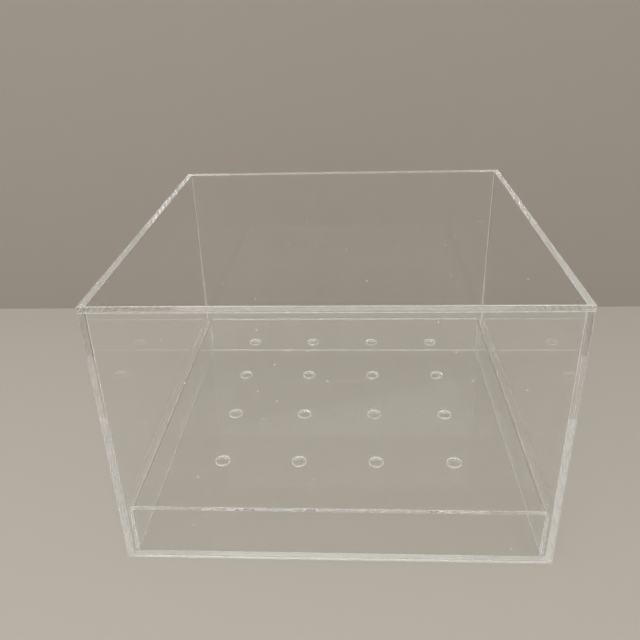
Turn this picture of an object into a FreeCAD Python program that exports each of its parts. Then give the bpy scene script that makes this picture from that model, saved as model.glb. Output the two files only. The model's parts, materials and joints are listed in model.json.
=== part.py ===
import FreeCAD, Part

import math
import os

import Sketcher

# A clear acrylic display cover that stands over a drop-in base panel and a perforated riser.
# Origin: centre of the footprint, on the surface it stands on. +X width, -Y front, +Z up. Millimetres.

DRIVING_SIZES = {
    "cover_width": 300,
    "cover_depth": 300,
    "cover_height": 200,
    "cover_sheet": 4,
    "base_sheet": 4,
    "base_gap": 0.5,
    "riser_sheet": 3,
    "riser_height": 40,
    "riser_side_gap": 1.5,
    "riser_end_gap": 1.5,
    "riser_bend": 1.5,
    "hole_diameter": 10,
    "hole_pitch_x": 58,
    "hole_pitch_y": 62,
    "hole_count_x": 4,
    "hole_count_y": 4,
    "arris": 0.25,
}

# Lines that several pieces share, as expressions on the sheet.
HALF_WIDTH = "sizes.cover_width / 2"
HALF_DEPTH = "sizes.cover_depth / 2"
INNER_HALF_WIDTH = "(sizes.cover_width / 2 - sizes.cover_sheet)"
INNER_HALF_DEPTH = "(sizes.cover_depth / 2 - sizes.cover_sheet)"
WALL_HEIGHT = "(sizes.cover_height - sizes.cover_sheet)"
BASE_HALF_WIDTH = f"({INNER_HALF_WIDTH} - sizes.base_gap)"
BASE_HALF_DEPTH = f"({INNER_HALF_DEPTH} - sizes.base_gap)"
RISER_HALF_WIDTH = f"({INNER_HALF_WIDTH} - sizes.riser_side_gap)"
RISER_HALF_DEPTH = f"({INNER_HALF_DEPTH} - sizes.riser_end_gap)"

TOLERANCE = 1e-6


def make_sizes(doc):
    """The sheet of driving dimensions, one named cell each."""
    sheet = doc.addObject("Spreadsheet::Sheet", "sizes")
    for row, (name, value) in enumerate(DRIVING_SIZES.items(), start=1):
        sheet.set(f"A{row}", name)
        sheet.set(f"B{row}", str(value))
        sheet.setAlias(f"B{row}", name)
    doc.recompute()
    return sheet


def origin_feature(body, role):
    """The body's own origin plane or axis with this role."""
    return next(f for f in body.Origin.OriginFeatures if f.Role == role)


def new_sketch(body, name, plane):
    """An empty sketch on one of the body's origin planes."""
    sketch = body.newObject("Sketcher::SketchObject", name)
    sketch.AttachmentSupport = [(origin_feature(body, plane), "")]
    sketch.MapMode = "FlatFace"
    return sketch


def draw_rectangle(sketch, left, right, low, high):
    """Four square lines. Each side's signed distance from the sketch's origin is an expression on the sheet."""
    corners = [FreeCAD.Vector(x, y, 0) for x, y in ((-1, -1), (1, -1), (1, 1), (-1, 1))]
    for start, end in zip(corners, corners[1:] + corners[:1]):
        sketch.addGeometry(Part.LineSegment(start, end), False)
    for line in range(4):
        sketch.addConstraint(Sketcher.Constraint("Coincident", line, 2, (line + 1) % 4, 1))
    for line, direction in enumerate(("Horizontal", "Vertical", "Horizontal", "Vertical")):
        sketch.addConstraint(Sketcher.Constraint(direction, line))
    origin = (-1, 1)
    sides = (
        ("DistanceX", 0, -1, left),
        ("DistanceX", 2, 1, right),
        ("DistanceY", 0, -1, low),
        ("DistanceY", 2, 1, high),
    )
    for kind, corner, value, expression in sides:
        index = sketch.addConstraint(Sketcher.Constraint(kind, *origin, corner, 1, value))
        sketch.setExpression(f"Constraints[{index}]", expression)


def take_off_arrises(body, base, edges):
    """Breaks the sharp corners that sawing and scraping leave along the cut edges."""
    chamfer = body.newObject("PartDesign::Chamfer", "Arrises")
    chamfer.Base = (base, edges)
    chamfer.ChamferType = "Equal distance"
    chamfer.setExpression("Size", "sizes.arris")


def make_panel(doc, label, left, right, front, back, height, lift="0"):
    """A flat panel with a rectangular footprint, padded upwards from the height lift."""
    body = doc.addObject("PartDesign::Body", label)
    body.Label = label
    outline = new_sketch(body, "Outline", "XY_Plane")
    draw_rectangle(outline, left, right, front, back)
    pad = body.newObject("PartDesign::Pad", "Pad")
    pad.Profile = outline
    pad.setExpression("Length", height)
    body.setExpression(".Placement.Base.z", lift)
    doc.recompute()
    take_off_arrises(body, pad, [f"Edge{n}" for n in range(1, len(pad.Shape.Edges) + 1)])
    doc.recompute()
    return body


def make_cover(doc):
    """Four walls that each butt into the wall on their left and cover the end of the one on their right, and a top."""
    walls = {
        "front_panel": (f"-{INNER_HALF_WIDTH}", HALF_WIDTH, f"-{HALF_DEPTH}", f"-{INNER_HALF_DEPTH}"),
        "right_panel": (INNER_HALF_WIDTH, HALF_WIDTH, f"-{INNER_HALF_DEPTH}", HALF_DEPTH),
        "back_panel": (f"-{HALF_WIDTH}", INNER_HALF_WIDTH, INNER_HALF_DEPTH, HALF_DEPTH),
        "left_panel": (f"-{HALF_WIDTH}", f"-{INNER_HALF_WIDTH}", f"-{HALF_DEPTH}", INNER_HALF_DEPTH),
    }
    panels = [make_panel(doc, label, *sides, WALL_HEIGHT) for label, sides in walls.items()]
    footprint = (f"-{HALF_WIDTH}", HALF_WIDTH, f"-{HALF_DEPTH}", HALF_DEPTH)
    panels.append(make_panel(doc, "top_panel", *footprint, "sizes.cover_sheet", WALL_HEIGHT))
    return panels


def make_base(doc):
    """The loose panel that the walls drop round."""
    footprint = (f"-{BASE_HALF_WIDTH}", BASE_HALF_WIDTH, f"-{BASE_HALF_DEPTH}", BASE_HALF_DEPTH)
    return make_panel(doc, "base_panel", *footprint, "sizes.base_sheet")


def edge_names(shape, wanted):
    """Names of the edges for which wanted(edge) is true."""
    return [f"Edge{n}" for n, edge in enumerate(shape.Edges, start=1) if wanted(edge)]


def round_bends(body, base, sizes, offset, radius):
    """Rounds the two edges along Y that lie this far in from the riser's outer sides and top."""
    x = sizes.cover_width / 2 - sizes.cover_sheet - sizes.riser_side_gap - offset
    z = sizes.riser_height - offset

    def is_bend(edge):
        box = edge.BoundBox
        runs_back = box.XLength < TOLERANCE and box.ZLength < TOLERANCE
        return runs_back and abs(abs(box.XMin) - x) < TOLERANCE and abs(box.ZMin - z) < TOLERANCE

    fillet = body.newObject("PartDesign::Fillet", "Bend")
    fillet.Base = (base, edge_names(base.Shape, is_bend))
    fillet.setExpression("Radius", radius)
    return fillet


def drill_grid(doc, body, sizes):
    """A grid of round holes through the riser's deck, centred on it."""
    first = new_sketch(body, "FirstHole", "XY_Plane")
    first.addGeometry(Part.Circle(FreeCAD.Vector(-1, -1, 0), FreeCAD.Vector(0, 0, 1), 1), False)
    for kind, axis in (("DistanceX", "x"), ("DistanceY", "y")):
        index = first.addConstraint(Sketcher.Constraint(kind, -1, 1, 0, 3, -1))
        reach = f"-sizes.hole_pitch_{axis} * (sizes.hole_count_{axis} - 1) / 2"
        first.setExpression(f"Constraints[{index}]", reach)
    diameter = first.addConstraint(Sketcher.Constraint("Diameter", 0, 2))
    first.setExpression(f"Constraints[{diameter}]", "sizes.hole_diameter")
    first.setExpression(".AttachmentOffset.Base.z", "sizes.riser_height")
    doc.recompute()
    drilled = body.newObject("PartDesign::Pocket", "Drilled")
    drilled.Profile = first
    drilled.Type = "Length"
    drilled.setExpression("Length", "sizes.riser_sheet")
    doc.recompute()
    grid = body.newObject("PartDesign::LinearPattern", "Grid")
    grid.Originals = [drilled]
    grid.Direction = (origin_feature(body, "X_Axis"), [""])
    grid.setExpression("Occurrences", "sizes.hole_count_x")
    grid.setExpression("Length", "sizes.hole_pitch_x * (sizes.hole_count_x - 1)")
    grid.Direction2 = (origin_feature(body, "Y_Axis"), [""])
    grid.setExpression("Occurrences2", "sizes.hole_count_y")
    grid.setExpression("Length2", "sizes.hole_pitch_y * (sizes.hole_count_y - 1)")
    body.Tip = grid
    doc.recompute()
    return grid


def make_riser(doc, sizes):
    """One sheet bent down at both sides, open at the front and back, with a grid of holes in its deck."""
    body = doc.addObject("PartDesign::Body", "perforated_riser")
    body.Label = "perforated_riser"
    body.setExpression(".Placement.Base.z", "sizes.base_sheet")
    footprint = new_sketch(body, "Footprint", "XY_Plane")
    draw_rectangle(footprint, f"-{RISER_HALF_WIDTH}", RISER_HALF_WIDTH, f"-{RISER_HALF_DEPTH}", RISER_HALF_DEPTH)
    block = body.newObject("PartDesign::Pad", "Block")
    block.Profile = footprint
    block.setExpression("Length", "sizes.riser_height")
    tunnel = new_sketch(body, "Tunnel", "XZ_Plane")
    inner_half_width = f"({RISER_HALF_WIDTH} - sizes.riser_sheet)"
    draw_rectangle(tunnel, f"-{inner_half_width}", inner_half_width, "0", "sizes.riser_height - sizes.riser_sheet")
    doc.recompute()
    bent = body.newObject("PartDesign::Pocket", "UnderDeck")
    bent.Profile = tunnel
    bent.SideType = "Symmetric"
    bent.setExpression("Length", f"2 * {HALF_DEPTH}")
    doc.recompute()
    inner = round_bends(body, bent, sizes, sizes.riser_sheet, "sizes.riser_bend")
    doc.recompute()
    outer = round_bends(body, inner, sizes, 0, "sizes.riser_bend + sizes.riser_sheet")
    doc.recompute()
    grid = drill_grid(doc, body, sizes)
    check_removed(outer, grid, sizes)
    half_depth = sizes.cover_depth / 2 - sizes.cover_sheet - sizes.riser_end_gap

    def is_cut(edge):
        box = edge.BoundBox
        at_end = box.YLength < TOLERANCE and abs(abs(box.YMin) - half_depth) < TOLERANCE
        at_foot = box.ZLength < TOLERANCE and abs(box.ZMin) < TOLERANCE
        at_hole = isinstance(edge.Curve, Part.Circle) and edge.isClosed()
        return at_end or at_foot or at_hole

    take_off_arrises(body, grid, edge_names(grid.Shape, is_cut))
    doc.recompute()
    return body


def check_removed(before, after, sizes):
    """The pattern has to take exactly its holes out of the deck."""
    holes = sizes.hole_count_x * sizes.hole_count_y
    expected = holes * math.pi / 4 * sizes.hole_diameter**2 * sizes.riser_sheet
    removed = before.Shape.Volume - after.Shape.Volume
    if abs(removed - expected) > 1e-3 * expected:
        raise RuntimeError(f"The hole grid took out {removed:.1f} mm3, not {expected:.1f} mm3")


def check_document(doc, pieces):
    """Stops on a failed feature or a bad shape before anything is written."""
    for item in doc.Objects:
        if "Invalid" in item.State or "Error" in item.State:
            raise RuntimeError(f"{item.Label} failed: {item.State}")
    for piece in pieces:
        if piece.Shape.isNull() or not piece.Shape.isValid() or len(piece.Shape.Solids) != 1:
            raise RuntimeError(f"{piece.Label} isn't one valid solid")


def main():
    doc = FreeCAD.newDocument("DisplayCover")
    sizes = make_sizes(doc)
    pieces = make_cover(doc) + [make_base(doc), make_riser(doc, sizes)]
    doc.recompute()
    check_document(doc, pieces)
    os.makedirs("parts", exist_ok=True)
    for piece in pieces:
        piece.Shape.exportStep(f"parts/{piece.Label}.step")
        box = piece.Shape.BoundBox
        print(f"{piece.Label}: {box.XLength:.2f} x {box.YLength:.2f} x {box.ZLength:.2f} mm, z {box.ZMin:.2f} up")


main()
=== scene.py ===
import json
import math

import bmesh
import bpy
from mathutils import Matrix, Vector

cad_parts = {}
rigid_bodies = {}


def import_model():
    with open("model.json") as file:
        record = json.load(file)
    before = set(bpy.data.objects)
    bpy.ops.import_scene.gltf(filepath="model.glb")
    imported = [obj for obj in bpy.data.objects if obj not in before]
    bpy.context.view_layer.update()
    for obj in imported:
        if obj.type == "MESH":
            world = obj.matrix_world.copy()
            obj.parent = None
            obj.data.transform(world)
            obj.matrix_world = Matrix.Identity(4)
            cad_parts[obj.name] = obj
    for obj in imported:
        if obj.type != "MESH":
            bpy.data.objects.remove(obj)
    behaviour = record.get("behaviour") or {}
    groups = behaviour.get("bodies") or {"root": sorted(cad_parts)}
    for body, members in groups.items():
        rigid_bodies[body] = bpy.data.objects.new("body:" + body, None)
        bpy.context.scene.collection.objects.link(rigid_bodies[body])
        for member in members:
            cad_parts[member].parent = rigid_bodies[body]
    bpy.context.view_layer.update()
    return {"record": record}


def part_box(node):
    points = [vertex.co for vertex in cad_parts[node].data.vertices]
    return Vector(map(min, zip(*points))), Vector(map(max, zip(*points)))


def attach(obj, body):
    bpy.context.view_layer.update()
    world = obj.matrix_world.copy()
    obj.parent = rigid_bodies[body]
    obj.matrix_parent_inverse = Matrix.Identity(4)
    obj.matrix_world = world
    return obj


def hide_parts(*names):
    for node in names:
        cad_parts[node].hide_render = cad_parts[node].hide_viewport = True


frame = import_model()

X, Y, Z = range(3)
MM_PER_M = 1000

WALLS = ("front_panel", "right_panel", "back_panel", "left_panel")
COVER = WALLS + ("top_panel",)
RISER = "perforated_riser"
BODY_OF = {node: body for body, nodes in frame["record"]["behaviour"]["bodies"].items() for node in nodes}

# Sizes in metres.
WALL_LOW, WALL_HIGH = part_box("front_panel")
SHEET = WALL_HIGH.y - WALL_LOW.y
ARRIS = 0.00025
ARRIS_STEPS = 2
BOND_GAP = 0.00002
BEAD = 0.00045
BEAD_STEPS = 5

# The riser: its box, with the feet a hair above the base panel, its bends, and the flat blank it starts as.
RISER_LOW, RISER_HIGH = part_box(RISER)
RISER_LOW.z += BOND_GAP
RISER_SHEET = 0.003
RISER_ARRIS = 0.0004
RISER_ARRIS_STEPS = 1
BEND_INNER = 0.0015
BEND_OUTER = BEND_INNER + RISER_SHEET
BEND_STEPS = 10
BEND_ARC = (BEND_INNER + RISER_SHEET / 2) * math.pi / 2
DECK_HALF = RISER_HIGH.x - BEND_OUTER
BLANK_HALF = DECK_HALF + BEND_ARC + (RISER_HIGH.z - RISER_LOW.z - BEND_OUTER)
HOLE_STEPS = 72

# Limits that tell faces and edges apart: an angle, a cosine, three lengths in metres and an area.
SHARP_EDGE = math.radians(30)
SQUARE = 0.999
PLANE_MARGIN = 0.000001
MERGE_DISTANCE = 0.0000001
OUTLINE_MARGIN = 0.01
SMALL_AREA = 0.000002

ACRYLIC_IOR = 1.49
LIGHT_BOUNCES = 64

# The finishes of the cut edges. Each has the colour of its clear share and how rough that share is, the
# colour of its white share and how much of the surface is white, from the lowest to the highest parts of
# the tool marks, the marks' grain along each axis per metre and their depth in metres, and the tint of the
# light that it lets through.
FINISHES = {
    "edge": dict(
        clear=(0.98, 0.985, 0.97, 1), roughness=0.10, white=(0.81, 0.80, 0.76, 1), white_share=(0.10, 0.26),
        grain=(35, 35, 35), depth=0.0000005, through=(0.93, 0.95, 0.935, 1)),
    "scraped": dict(
        clear=(0.96, 0.965, 0.93, 1), roughness=0.10, white=(0.80, 0.79, 0.73, 1), white_share=(0.03, 0.2),
        grain=(120, 120, 900), depth=0.000008, through=(0.88, 0.9, 0.885, 1)),
    "sawn": dict(
        clear=(0.965, 0.965, 0.94, 1), roughness=0.35, white=(0.88, 0.86, 0.81, 1), white_share=(0.28, 0.5),
        grain=(1400, 1400, 1400), depth=0.00001, through=(0.8, 0.82, 0.8, 1)),
    # The sawn finish painted whiter: the saw's frost plus a painted highlight for the light that this rough
    # cut catches.
    "sawn_painted_highlight": dict(
        clear=(0.965, 0.965, 0.94, 1), roughness=0.35, white=(0.88, 0.86, 0.81, 1), white_share=(0.42, 0.75),
        grain=(1400, 1400, 1400), depth=0.00001, through=(0.8, 0.82, 0.8, 1)),
    # The rounded edges of the sheets: a little of the cut's frost, and mostly a painted highlight standing in
    # for the glints that they catch.
    "arris": dict(
        clear=(0.97, 0.98, 0.97, 1), roughness=0.15, white=(0.95, 0.94, 0.91, 1), white_share=(0.2, 0.55),
        grain=(300, 300, 300), depth=0.00001, through=(0.9, 0.92, 0.9, 1)),
    # The rounded rims of the holes: a little of the drill's frost, and mostly a painted highlight standing in
    # for the bright glints that they catch.
    "rim_with_painted_highlight": dict(
        clear=(0.97, 0.98, 0.97, 1), roughness=0.15, white=(0.95, 0.94, 0.91, 1), white_share=(0.6, 0.95),
        grain=(300, 300, 300), depth=0.00001, through=(0.9, 0.92, 0.9, 1)),
    "drilled": dict(
        clear=(0.97, 0.98, 0.97, 1), roughness=0.05, white=(0.94, 0.94, 0.91, 1), white_share=(0.03, 0.25),
        grain=(200, 200, 200), depth=0.000005, through=(0.92, 0.94, 0.92, 1)),
}
CEMENT_FINISH = dict(
    clear=(0.98, 0.985, 0.97, 1), roughness=0.12, white=(0.86, 0.84, 0.79, 1), white_share=(0.3, 0.75),
    grain=(200, 200, 60), depth=0.00001, through=(0.95, 0.955, 0.94, 1))


# ---------------------------------------------------------------- node helpers

class Nodes:
    """Short spellings for building one node tree."""

    def __init__(self, owner):
        owner.use_nodes = True
        self.tree = owner.node_tree
        self.tree.nodes.clear()

    def add(self, kind, **values):
        node = self.tree.nodes.new(kind)
        for name, value in values.items():
            setattr(node, name, value)
        return node

    def feed(self, socket, value):
        """Links an input to another node's output, or sets it to a plain value."""
        if isinstance(value, bpy.types.NodeSocket):
            self.tree.links.new(value, socket)
        else:
            socket.default_value = value

    def put(self, node, **sockets):
        """Feeds a node's inputs by name. A name's underscores stand for spaces."""
        for name, value in sockets.items():
            self.feed(node.inputs[name.replace("_", " ")], value)
        return node

    def put_in_order(self, node, *values):
        """Feeds a node's first inputs in their order, and returns its first output."""
        for socket, value in zip(node.inputs, values):
            self.feed(socket, value)
        return node.outputs[0]

    def mix(self, share, first, second):
        return self.put_in_order(self.add("ShaderNodeMixShader"), share, first, second)

    def times(self, first, second):
        return self.put_in_order(self.add("ShaderNodeMath", operation="MULTIPLY"), first, second)

    def stretched(self, vector, scale):
        return self.put_in_order(self.add("ShaderNodeVectorMath", operation="MULTIPLY"), vector, scale)

    def object_point(self):
        return self.add("ShaderNodeTexCoord").outputs["Object"]

    def noise(self, vector, scale, detail=2.0, roughness=0.5):
        node = self.add("ShaderNodeTexNoise")
        return self.put(node, Vector=vector, Scale=scale, Detail=detail, Roughness=roughness).outputs["Fac"]

    def ramp(self, value, low, high, to_low=0.0, to_high=1.0):
        node = self.add("ShaderNodeMapRange")
        self.put(node, Value=value, From_Min=low, From_Max=high, To_Min=to_low, To_Max=to_high)
        return node.outputs["Result"]

    def bump(self, height, distance):
        node = self.put(self.add("ShaderNodeBump"), Height=height, Distance=distance, Strength=1.0)
        return node.outputs["Normal"]

    def diffuse(self, colour):
        return self.put(self.add("ShaderNodeBsdfDiffuse"), Color=colour)

    def transparent(self, colour=(1, 1, 1, 1)):
        return self.put(self.add("ShaderNodeBsdfTransparent"), Color=colour).outputs[0]

    def output(self, surface, kind="ShaderNodeOutputMaterial"):
        self.put(self.add(kind), Surface=surface)


def new_material(name):
    material = bpy.data.materials.new(name)
    return material, Nodes(material)


def lets_lamps_through(nodes, shader, tint):
    """Lamps and scattered light go straight through, so that what the acrylic covers is lit."""
    clear = nodes.transparent(tint)
    path = nodes.add("ShaderNodeLightPath")
    soft = nodes.mix(path.outputs["Is Diffuse Ray"], shader, clear)
    return nodes.mix(path.outputs["Is Shadow Ray"], soft, clear)


# ---------------------------------------------------------------- materials

def specks(nodes, point, spacing, size, share):
    """A mask of small round dots: one in every cell of this spacing, on the given share of the cells."""
    solid_share = 0.6
    choice_step = 0.01
    cells = nodes.put(nodes.add("ShaderNodeTexVoronoi"), Vector=point, Scale=1 / spacing)
    near = nodes.ramp(cells.outputs["Distance"], size / spacing * solid_share, size / spacing, 1.0, 0.0)
    pick = nodes.put(nodes.add("ShaderNodeSeparateColor"), Color=cells.outputs["Color"])
    chosen = nodes.ramp(pick.outputs["Red"], 1 - share, 1 - share + choice_step)
    return nodes.times(near, chosen)


def glass_shader(nodes, colour, roughness, normal):
    glass = nodes.add("ShaderNodeBsdfPrincipled")
    nodes.put(glass, Base_Color=colour, Roughness=roughness, IOR=ACRYLIC_IOR, Transmission_Weight=1.0)
    return nodes.put(glass, Normal=normal).outputs[0]


def white_shader(nodes, colour, normal):
    return nodes.put(nodes.diffuse(colour), Normal=normal).outputs[0]


def acrylic_face():
    """Polished sheet surface, very slightly wavy, with a little dust."""
    material, nodes = new_material("acrylic_face")
    point = nodes.object_point()
    waves = nodes.bump(nodes.noise(point, scale=9.0, detail=1.0), distance=0.00001)
    glass = glass_shader(nodes, (0.994, 0.997, 0.994, 1), 0.0, waves)
    dust = white_shader(nodes, (0.9, 0.9, 0.88, 1), waves)
    dust_strength = 0.8
    dust_cover = nodes.times(specks(nodes, point, spacing=0.011, size=0.0006, share=0.35), dust_strength)
    surface = nodes.mix(dust_cover, glass, dust)
    nodes.output(lets_lamps_through(nodes, surface, (0.978, 0.98, 0.976, 1)))
    return material


def cut_material(name, clear, roughness, white, white_share, grain, depth, through):
    """A cut edge: tool marks across the sheet, part see-through and part white. On the rounded edges, the
    hole rims and the right wall's foot, much of the white is a painted highlight.
    """
    material, nodes = new_material(name)
    point = nodes.object_point()
    marks = nodes.noise(nodes.stretched(point, grain), scale=1.0, detail=4.0, roughness=0.65)
    normal = nodes.bump(marks, depth)
    mark_range = (0.35, 0.65)
    share = nodes.ramp(marks, *mark_range, *white_share)
    glass = glass_shader(nodes, clear, roughness, normal)
    surface = nodes.mix(share, glass, white_shader(nodes, white, normal))
    nodes.output(lets_lamps_through(nodes, surface, through))
    return material


def acrylic_bond():
    """A cemented face: the two sheets are optically one, but for a little haze and some trapped bubbles."""
    haze_share, bubble_share = 0.008, 0.35
    bubble_edge = (0.74, 0.78)
    material, nodes = new_material("acrylic_bond")
    haze = nodes.diffuse((0.9, 0.92, 0.9, 1)).outputs[0]
    grain = nodes.noise(nodes.object_point(), scale=150.0)
    haze_cover = nodes.ramp(grain, *bubble_edge, haze_share, bubble_share)
    nodes.output(nodes.mix(haze_cover, nodes.transparent(), haze))
    return material


def stage_material(name, colour, one_sided=False):
    material, nodes = new_material(name)
    shader = nodes.diffuse(colour).outputs[0]
    if one_sided:
        back = nodes.add("ShaderNodeNewGeometry").outputs["Backfacing"]
        shader = nodes.mix(back, shader, nodes.transparent())
    nodes.output(shader)
    return material


# ---------------------------------------------------------------- piece helpers

def link(name, data):
    item = bpy.data.objects.new(name, data)
    bpy.context.scene.collection.objects.link(item)
    return item


def add_piece(name, bm, materials, node, stands_for_node=True):
    """Makes the bmesh a piece of clear acrylic that rides with this node's body."""
    mesh = bpy.data.meshes.new(name)
    bm.to_mesh(mesh)
    bm.free()
    for material in materials:
        mesh.materials.append(material)
    piece = link(name, mesh)
    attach(piece, BODY_OF[node])
    if stands_for_node:
        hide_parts(node)


def cut_at(bm, axis, place):
    """Divides the faces that cross this plane."""
    normal = Vector((0, 0, 0))
    normal[axis] = 1
    geometry = bm.verts[:] + bm.edges[:] + bm.faces[:]
    bmesh.ops.bisect_plane(bm, geom=geometry, dist=PLANE_MARGIN, plane_co=normal * place, plane_no=normal)


# ---------------------------------------------------------------- flat panels

def bond_between(first, second):
    """Where two panels' boxes meet: (axis, low corner, high corner) of the shared rectangle, or None."""
    (first_low, first_high), (second_low, second_high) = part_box(first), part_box(second)
    low = Vector(max(pair) for pair in zip(first_low, second_low))
    high = Vector(min(pair) for pair in zip(first_high, second_high))
    reach = high - low
    touching = [axis for axis in (X, Y, Z) if abs(reach[axis]) < BOND_GAP]
    if len(touching) != 1:
        return None
    narrowest = min(reach[axis] for axis in (X, Y, Z) if axis != touching[0])
    return None if narrowest < SHEET / 2 else (touching[0], low, high)


def bonds_of(node):
    """The rectangles where this panel is cemented to the cover's other panels."""
    if node not in COVER:
        return []
    found = [bond_between(node, other) for other in COVER if other != node]
    return [bond for bond in found if bond]


def in_bond(bond, point, axes=(X, Y, Z)):
    """True if the point lies in this rectangle, seen along the given axes."""
    _, low, high = bond
    return all(low[axis] - BOND_GAP < point[axis] < high[axis] + BOND_GAP for axis in axes)


def panel_block(low, high, bonds):
    """The panel's box, drawn back a hair at each cemented face, and divided where a bond ends part-way."""
    block_low, block_high = low.copy(), high.copy()
    for axis, bond_low, _ in bonds:
        if abs(bond_low[axis] - low[axis]) < BOND_GAP:
            block_low[axis] = low[axis] + BOND_GAP / 2
        else:
            block_high[axis] = high[axis] - BOND_GAP / 2
    bm = bmesh.new()
    bmesh.ops.create_cube(bm, size=1.0)
    bmesh.ops.scale(bm, vec=block_high - block_low, verts=bm.verts)
    bmesh.ops.translate(bm, vec=(block_low + block_high) / 2, verts=bm.verts)
    for bond_axis, bond_low, bond_high in bonds:
        for axis in (X, Y, Z):
            for place in (bond_low[axis], bond_high[axis]):
                if axis != bond_axis and low[axis] + SHEET / 2 < place < high[axis] - SHEET / 2:
                    cut_at(bm, axis, place)
    return bm


def is_buried(edge, bonds):
    """True if an upright edge lies in a joint between two walls, where the cement has filled the rounded
    edge.
    """
    first, second = (vert.co for vert in edge.verts)
    upright = abs(first.z - second.z) > SHEET
    return upright and any(bond[0] != Z and in_bond(bond, first, (X, Y)) for bond in bonds)


def panel_finish(face, thin_axis, bonds, cuts):
    """A face's finish: its rounded edge, painted with a highlight, its cemented part, its polished side, or
    the cut that its side has.
    """
    normal = face.normal
    axis = max((X, Y, Z), key=lambda i: abs(normal[i]))
    if abs(normal[axis]) < SQUARE:
        return "arris"
    centre = face.calc_center_median()
    if any(bond[0] == axis and in_bond(bond, centre) for bond in bonds):
        return "bond"
    if axis == thin_axis:
        return "face"
    side = ("+" if normal[axis] > 0 else "-") + "xyz"[axis]
    return cuts.get(side, cuts["else"])


def make_panel(node, materials, cuts):
    """One flat panel with rounded arrises. Its cut sides take the finishes that cuts gives them."""
    low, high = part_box(node)
    thin_axis = min((X, Y, Z), key=lambda axis: high[axis] - low[axis])
    bonds = bonds_of(node)
    bm = panel_block(low, high, bonds)
    sharp = [edge for edge in bm.edges if edge.calc_face_angle() > SHARP_EDGE and not is_buried(edge, bonds)]
    bmesh.ops.bevel(bm, geom=sharp, offset=ARRIS, segments=ARRIS_STEPS, profile=0.5, affect="EDGES",
                    clamp_overlap=True)
    for face in bm.faces:
        face.material_index = INDEX[panel_finish(face, thin_axis, bonds, cuts)]
    add_piece(node + "_sheet", bm, materials, node)


# ---------------------------------------------------------------- riser

def add_outline(curve, points):
    """Adds a closed outline of straight steps."""
    outline = curve.splines.new("POLY")
    outline.points.add(len(points) - 1)
    for spline_point, (x, y) in zip(outline.points, points):
        spline_point.co = (x, y, 0, 1)
    outline.use_cyclic_u = True


def hole_outlines():
    """The deck's holes, one outline each, from the patterns in the record."""
    mounts = {mount["name"]: mount for mount in frame["record"]["mounts"]}
    patterns = [mounts[name]["dims"] for name in ("deck_holes_inner", "deck_holes_outer")]
    radius = patterns[0]["hole_r_mm"] / MM_PER_M
    turns = [2 * math.pi * step / HOLE_STEPS for step in range(HOLE_STEPS)]
    places_x, places_y = (
        sorted(side * dims[spacing] / 2 / MM_PER_M for dims in patterns for side in (-1, 1))
        for spacing in ("spacing_x_mm", "spacing_y_mm"))
    return [[(x + radius * math.cos(turn), y + radius * math.sin(turn)) for turn in turns]
            for x in places_x for y in places_y]


def riser_blank():
    """The riser's sheet before it is bent: cut out, drilled, and lying on height 0."""
    curve = bpy.data.curves.new("riser_blank", "CURVE")
    curve.dimensions = "2D"
    curve.fill_mode = "BOTH"
    curve.extrude = RISER_SHEET / 2 - RISER_ARRIS
    curve.bevel_depth = RISER_ARRIS
    curve.bevel_resolution = RISER_ARRIS_STEPS
    curve.offset = -RISER_ARRIS
    front, back = RISER_LOW.y, RISER_HIGH.y
    add_outline(curve, [(-BLANK_HALF, front), (BLANK_HALF, front), (BLANK_HALF, back), (-BLANK_HALF, back)])
    for outline in hole_outlines():
        add_outline(curve, outline)
    blank = link("riser_blank", curve)
    graph = bpy.context.evaluated_depsgraph_get()
    flat_mesh = bpy.data.meshes.new_from_object(blank.evaluated_get(graph))
    bm = bmesh.new()
    bm.from_mesh(flat_mesh)
    bpy.data.objects.remove(blank)
    bpy.data.meshes.remove(flat_mesh)
    bmesh.ops.remove_doubles(bm, verts=bm.verts, dist=MERGE_DISTANCE)
    bmesh.ops.translate(bm, vec=(0, 0, RISER_SHEET / 2), verts=bm.verts)
    return bm


def riser_finish(face):
    """A face's finish on the flat blank: a polished side, a cut, the outline's rounded edge, or a hole's
    rounded lip; the two rounded ones carry a painted highlight.
    """
    up = abs(face.normal.z)
    if up > SQUARE:
        return "face"
    if up < 1 - SQUARE:
        return "drilled"
    centre = face.calc_center_median()
    at_end = abs(centre.x) > BLANK_HALF - OUTLINE_MARGIN
    at_side = abs(centre.y) > RISER_HIGH.y - OUTLINE_MARGIN
    return "arris" if at_end or at_side else "rim_with_painted_highlight"


def is_round(face, finish):
    """True for a face that is shaded smooth: in a bend, or a short cut face such as a hole's."""
    if finish == "face":
        reach = [abs(vert.co.x) for vert in face.verts]
        return min(reach) > DECK_HALF - PLANE_MARGIN and max(reach) < DECK_HALF + BEND_ARC + PLANE_MARGIN
    return finish == "drilled" and len(face.verts) == 4 and face.calc_area() < SMALL_AREA


def bent(point):
    """Where bending puts a point of the flat blank."""
    along = abs(point.x)
    reach = BEND_INNER + point.z
    side = math.copysign(1, point.x)
    centre_z = RISER_HIGH.z - BEND_OUTER
    if along <= DECK_HALF:
        return Vector((point.x, point.y, centre_z + reach))
    if along < DECK_HALF + BEND_ARC:
        turn = (along - DECK_HALF) / BEND_ARC * math.pi / 2
        bent_x = side * (DECK_HALF + reach * math.sin(turn))
        return Vector((bent_x, point.y, centre_z + reach * math.cos(turn)))
    return Vector((side * (DECK_HALF + reach), point.y, centre_z - (along - DECK_HALF - BEND_ARC)))


def make_riser(materials):
    """Cut out flat, drilled, and bent down at both sides."""
    bm = riser_blank()
    for side in (-1, 1):
        for step in range(BEND_STEPS + 1):
            cut_at(bm, X, side * (DECK_HALF + BEND_ARC * step / BEND_STEPS))
    bm.normal_update()
    for face in bm.faces:
        finish = riser_finish(face)
        face.material_index = INDEX[finish]
        face.smooth = is_round(face, finish)
    for vert in bm.verts:
        vert.co = bent(vert.co)
    add_piece("riser_sheet", bm, materials, RISER)


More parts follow.
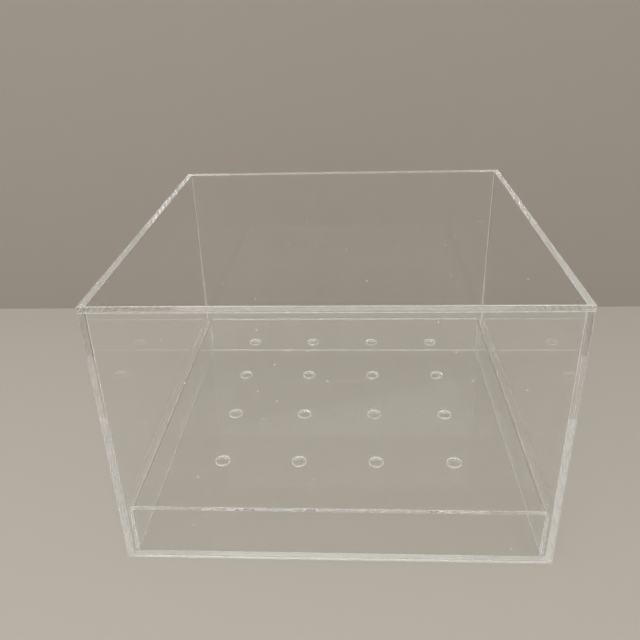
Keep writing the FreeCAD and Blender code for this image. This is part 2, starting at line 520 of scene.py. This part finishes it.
# ---------------------------------------------------------------- cement

def bead_outline():
    """The bead's section in the right back corner: the corner itself, and a hollow curve across it."""
    corner_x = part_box("right_panel")[0].x - BOND_GAP
    corner_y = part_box("back_panel")[0].y - BOND_GAP
    outline = [(corner_x, corner_y)]
    for step in range(BEAD_STEPS + 1):
        turn = step / BEAD_STEPS * math.pi / 2
        outline.append((corner_x - BEAD + BEAD * math.cos(turn), corner_y - BEAD + BEAD * math.sin(turn)))
    return outline


def make_beads(material):
    """The cement squeezed out along the four upright inner corners of the cover."""
    outline = bead_outline()
    heights = (WALL_LOW.z + ARRIS, WALL_HIGH.z - BOND_GAP)
    bm = bmesh.new()
    for side in (-1, 1):
        for end in (-1, 1):
            foot, head = ([bm.verts.new((side * x, end * y, z)) for x, y in outline] for z in heights)
            bm.faces.new(foot)
            bm.faces.new(head)
            for here in range(len(outline)):
                following = (here + 1) % len(outline)
                bm.faces.new((foot[here], foot[following], head[following], head[here]))
    bmesh.ops.recalc_face_normals(bm, faces=bm.faces)
    add_piece("corner_beads", bm, [material], "front_panel", stands_for_node=False)


# ---------------------------------------------------------------- stage, light and camera

def add_plane(name, corners, material):
    mesh = bpy.data.meshes.new(name)
    mesh.from_pydata(corners, [], [tuple(range(len(corners)))])
    mesh.materials.append(material)
    link(name, mesh)


def make_stage():
    """A floor just under the object, and a backdrop behind it that can be seen from the front only."""
    reach = 4.0
    under = -0.00005
    back = 0.26
    head = 2.0
    floor = stage_material("floor_pale", (0.46, 0.425, 0.375, 1))
    backdrop = stage_material("backdrop_grey", (0.355, 0.32, 0.275, 1), one_sided=True)
    around = ((-reach, -reach), (reach, -reach), (reach, reach), (-reach, reach))
    across = ((-reach, under), (reach, under), (reach, head), (-reach, head))
    add_plane("floor", [(x, y, under) for x, y in around], floor)
    add_plane("backdrop", [(x, back, z) for x, z in across], backdrop)


def area_lamp(name, place, target, size, power, mirrored):
    """A square lamp. One that isn't mirrored lights the sheets but shows no bright square in them."""
    data = bpy.data.lights.new(name, "AREA")
    data.shape = "SQUARE"
    data.size = size
    data.energy = power
    lamp = link(name, data)
    lamp.location = place
    lamp.rotation_euler = (Vector(target) - Vector(place)).to_track_quat("-Z", "Y").to_euler()
    lamp.visible_glossy = mirrored


def make_light():
    area_lamp("ceiling", place=(-0.25, -0.6, 1.9), target=(-0.1, -0.2, 0), size=2.6, power=33, mirrored=False)
    area_lamp("fill", place=(0.3, -2.4, 1.4), target=(0, 0.1, 0.2), size=3.0, power=24, mirrored=False)
    area_lamp("spark", place=(-0.9, -1.4, 1.3), target=(0, 0, 0.1), size=0.14, power=5, mirrored=True)
    world = bpy.data.worlds.new("studio")
    bpy.context.scene.world = world
    nodes = Nodes(world)
    background = nodes.put(nodes.add("ShaderNodeBackground"), Color=(1, 1, 1, 1), Strength=0.35)
    nodes.output(background.outputs[0], "ShaderNodeOutputWorld")


def make_camera():
    """Stands in front of the object, looks down at it, and leans a little to one side."""
    place = (0.0149, -0.4995, 0.3689)
    heading, dip, lean = (math.radians(angle) for angle in (-3.51, 26.92, -1.73))
    forward = Vector((math.sin(heading) * math.cos(dip), math.cos(heading) * math.cos(dip), -math.sin(dip)))
    level = Vector((math.cos(heading), -math.sin(heading), 0))
    upright = level.cross(forward)
    right = level * math.cos(lean) + upright * math.sin(lean)
    up = upright * math.cos(lean) - level * math.sin(lean)
    data = bpy.data.cameras.new("camera")
    data.lens = 38.0
    data.clip_start = 0.01
    camera = link("camera", data)
    camera.matrix_world = Matrix.Translation(place) @ Matrix((right, up, -forward)).transposed().to_4x4()
    bpy.context.scene.camera = camera


# ---------------------------------------------------------------- the scene

for name in ("Cube", "Light", "Camera"):
    if name in bpy.data.objects:
        bpy.data.objects.remove(bpy.data.objects[name])

MATERIALS = {"face": acrylic_face(), "bond": acrylic_bond()}
for name, finish in FINISHES.items():
    MATERIALS[name] = cut_material("acrylic_" + name, **finish)
INDEX = {name: i for i, name in enumerate(MATERIALS)}
surfaces = list(MATERIALS.values())

# The right wall's foot is whiter than the others': on top of the saw's frost, a painted highlight for the
# light its rough cut catches.
for node in WALLS:
    make_panel(node, surfaces, {"-z": "sawn_painted_highlight" if node == "right_panel" else "sawn", "else": "edge"})
make_panel("top_panel", surfaces, {"+y": "sawn", "else": "scraped"})
make_panel("base_panel", surfaces, {"else": "sawn"})
make_riser(surfaces)
make_beads(cut_material("cement_bead", **CEMENT_FINISH))
make_stage()
make_light()
make_camera()

scene = bpy.context.scene
scene.view_settings.view_transform = "Standard"
# Light in a cut edge is turned back inside the sheet dozens of times before it gets out.
scene.cycles.max_bounces = LIGHT_BOUNCES
scene.cycles.glossy_bounces = LIGHT_BOUNCES
scene.cycles.transmission_bounces = LIGHT_BOUNCES
scene.cycles.transparent_max_bounces = LIGHT_BOUNCES
